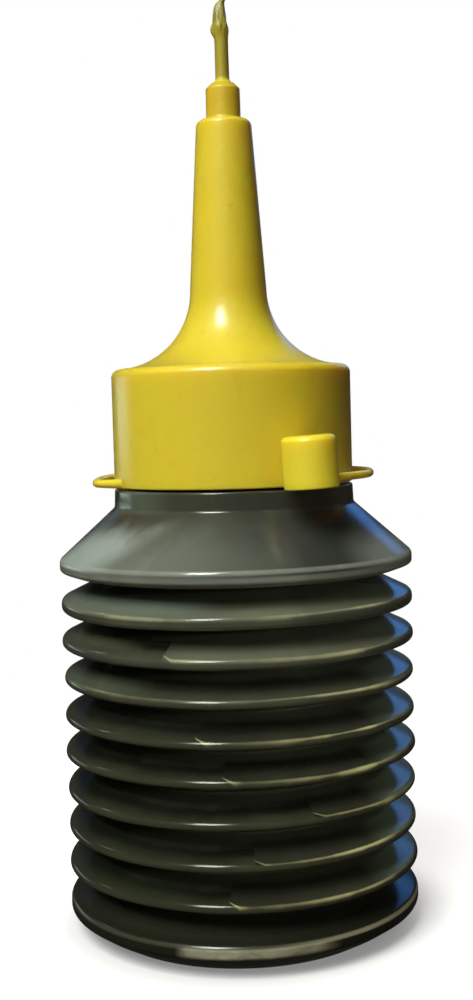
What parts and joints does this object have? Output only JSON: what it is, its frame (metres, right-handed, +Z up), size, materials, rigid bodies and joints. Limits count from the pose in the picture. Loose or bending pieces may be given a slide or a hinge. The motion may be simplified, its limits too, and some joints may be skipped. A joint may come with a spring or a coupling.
{
  "type": "grease tube",
  "caption": "Folding bellows bottle of grease with a screw-on nozzle cap, a sealing nib and a tethered tip cap.",
  "frame": {"origin": "middle of the foot, on the surface that the bottle stands on", "axes": "+Z up along the bottle's axis, the tip cap hanging at the front (-Y) right"},
  "size_m": [0.05, 0.05, 0.1305],
  "materials": {
    "smoky_polyethylene": "smooth translucent polyethylene darkened by the grease behind it",
    "yellow_polyethylene": "smooth moulded yellow polyethylene",
    "dark_grease": "soft dark grease",
    "liner_foam": "white expanded foam"
  },
  "bodies": {
    "base": {"bottle_base": "smoky_polyethylene", "grease_fill": "dark_grease"},
    "fold_1": {"bellows_fold_1": "smoky_polyethylene"},
    "fold_2": {"bellows_fold_2": "smoky_polyethylene"},
    "fold_3": {"bellows_fold_3": "smoky_polyethylene"},
    "fold_4": {"bellows_fold_4": "smoky_polyethylene"},
    "fold_5": {"bellows_fold_5": "smoky_polyethylene"},
    "fold_6": {"bellows_fold_6": "smoky_polyethylene"},
    "fold_7": {"bellows_fold_7": "smoky_polyethylene"},
    "fold_8": {"bellows_fold_8": "smoky_polyethylene"},
    "neck": {"bottle_shoulder": "smoky_polyethylene", "bottle_neck": "smoky_polyethylene"},
    "liner": {"cap_liner": "liner_foam"},
    "cap": {"nozzle_cap": "yellow_polyethylene", "nozzle_grease": "dark_grease", "sealing_nib": "yellow_polyethylene"},
    "strap_1": {"strap_link_1": "yellow_polyethylene"},
    "strap_2": {"strap_link_2": "yellow_polyethylene"},
    "strap_3": {"strap_link_3": "yellow_polyethylene"},
    "strap_4": {"strap_link_4": "yellow_polyethylene"},
    "strap_5": {"strap_link_5": "yellow_polyethylene"},
    "strap_6": {"strap_link_6": "yellow_polyethylene"},
    "strap_7": {"strap_link_7": "yellow_polyethylene"},
    "strap_8": {"strap_link_8": "yellow_polyethylene"},
    "tip": {"tip_cap": "yellow_polyethylene"}
  },
  "joints": [
    {"name": "bellows_squeeze", "type": "slide", "parent": "base", "child": "neck", "axis": [0, 0, -1], "range_m": [0, 0.026], "stiffness_N_per_m": 900, "deforming": ["grease_fill"]},
    {"name": "fold_1_squeeze", "type": "slide", "parent": "base", "child": "fold_1", "axis": [0, 0, -1], "range_m": [0, 0.00294], "deforming": ["bellows_fold_1"]},
    {"name": "fold_2_squeeze", "type": "slide", "parent": "base", "child": "fold_2", "axis": [0, 0, -1], "range_m": [0, 0.00583], "deforming": ["bellows_fold_2"]},
    {"name": "fold_3_squeeze", "type": "slide", "parent": "base", "child": "fold_3", "axis": [0, 0, -1], "range_m": [0, 0.00872], "deforming": ["bellows_fold_3"]},
    {"name": "fold_4_squeeze", "type": "slide", "parent": "base", "child": "fold_4", "axis": [0, 0, -1], "range_m": [0, 0.01161], "deforming": ["bellows_fold_4"]},
    {"name": "fold_5_squeeze", "type": "slide", "parent": "base", "child": "fold_5", "axis": [0, 0, -1], "range_m": [0, 0.01449], "deforming": ["bellows_fold_5"]},
    {"name": "fold_6_squeeze", "type": "slide", "parent": "base", "child": "fold_6", "axis": [0, 0, -1], "range_m": [0, 0.01738], "deforming": ["bellows_fold_6"]},
    {"name": "fold_7_squeeze", "type": "slide", "parent": "base", "child": "fold_7", "axis": [0, 0, -1], "range_m": [0, 0.02027], "deforming": ["bellows_fold_7"]},
    {"name": "fold_8_squeeze", "type": "slide", "parent": "base", "child": "fold_8", "axis": [0, 0, -1], "range_m": [0, 0.02316], "deforming": ["bellows_fold_8"]},
    {"name": "cap_lift", "type": "slide", "parent": "neck", "child": "liner", "axis": [0, 0, 1], "range_m": [0, 0.00645]},
    {"name": "cap_turn", "type": "hinge", "parent": "liner", "child": "cap", "pos_m": [0, 0, 0.0625], "axis": [0, 0, 1], "range_deg": [0, 720]},
    {"name": "strap_uncoil", "type": "hinge", "parent": "cap", "child": "strap_1", "pos_m": [-0.019, -0.00439, 0.0636], "axis": [0, 0, 1], "range_deg": [0, 30], "stiffness_Nm_per_rad": 0.0105},
    {"name": "strap_bend_2", "type": "hinge", "parent": "strap_1", "child": "strap_2", "pos_m": [-0.01861, 0.00583, 0.0636], "axis": [0, 0, 1], "range_deg": [0, 30.1]},
    {"name": "strap_bend_3", "type": "hinge", "parent": "strap_2", "child": "strap_3", "pos_m": [-0.0131, 0.01444, 0.0636], "axis": [0, 0, 1], "range_deg": [0, 30.1]},
    {"name": "strap_bend_4", "type": "hinge", "parent": "strap_3", "child": "strap_4", "pos_m": [-0.004, 0.01909, 0.0636], "axis": [0, 0, 1], "range_deg": [0, 30.1]},
    {"name": "strap_bend_5", "type": "hinge", "parent": "strap_4", "child": "strap_5", "pos_m": [0.00621, 0.01849, 0.0636], "axis": [0, 0, 1], "range_deg": [0, 30.1]},
    {"name": "strap_bend_6", "type": "hinge", "parent": "strap_5", "child": "strap_6", "pos_m": [0.01471, 0.0128, 0.0636], "axis": [0, 0, 1], "range_deg": [0, 30.1]},
    {"name": "strap_bend_7", "type": "hinge", "parent": "strap_6", "child": "strap_7", "pos_m": [0.01916, 0.0036, 0.0636], "axis": [0, 0, 1], "range_deg": [0, 30.1]},
    {"name": "strap_bend_8", "type": "hinge", "parent": "strap_7", "child": "strap_8", "pos_m": [0.01835, -0.00659, 0.0636], "axis": [0, 0, 1], "range_deg": [0, 30.1]},
    {"name": "tip_cap_twist", "type": "hinge", "parent": "strap_8", "child": "tip", "pos_m": [0.0125, -0.01497, 0.0636], "axis": [0.7675, 0.6411, 0], "range_deg": [0, 90], "stiffness_Nm_per_rad": 0.0002}
  ],
  "couplings": [
    {"joint": "fold_1_squeeze", "follows": "bellows_squeeze", "ratio": 0.11111},
    {"joint": "fold_2_squeeze", "follows": "bellows_squeeze", "ratio": 0.22222},
    {"joint": "fold_3_squeeze", "follows": "bellows_squeeze", "ratio": 0.33333},
    {"joint": "fold_4_squeeze", "follows": "bellows_squeeze", "ratio": 0.44444},
    {"joint": "fold_5_squeeze", "follows": "bellows_squeeze", "ratio": 0.55556},
    {"joint": "fold_6_squeeze", "follows": "bellows_squeeze", "ratio": 0.66667},
    {"joint": "fold_7_squeeze", "follows": "bellows_squeeze", "ratio": 0.77778},
    {"joint": "fold_8_squeeze", "follows": "bellows_squeeze", "ratio": 0.88889},
    {"joint": "cap_lift", "follows": "cap_turn", "m_per_rad": 0.0005093},
    {"joint": "strap_bend_2", "follows": "strap_uncoil", "ratio": 1},
    {"joint": "strap_bend_3", "follows": "strap_uncoil", "ratio": 1},
    {"joint": "strap_bend_4", "follows": "strap_uncoil", "ratio": 1},
    {"joint": "strap_bend_5", "follows": "strap_uncoil", "ratio": 1},
    {"joint": "strap_bend_6", "follows": "strap_uncoil", "ratio": 1},
    {"joint": "strap_bend_7", "follows": "strap_uncoil", "ratio": 1},
    {"joint": "strap_bend_8", "follows": "strap_uncoil", "ratio": 1}
  ]
}
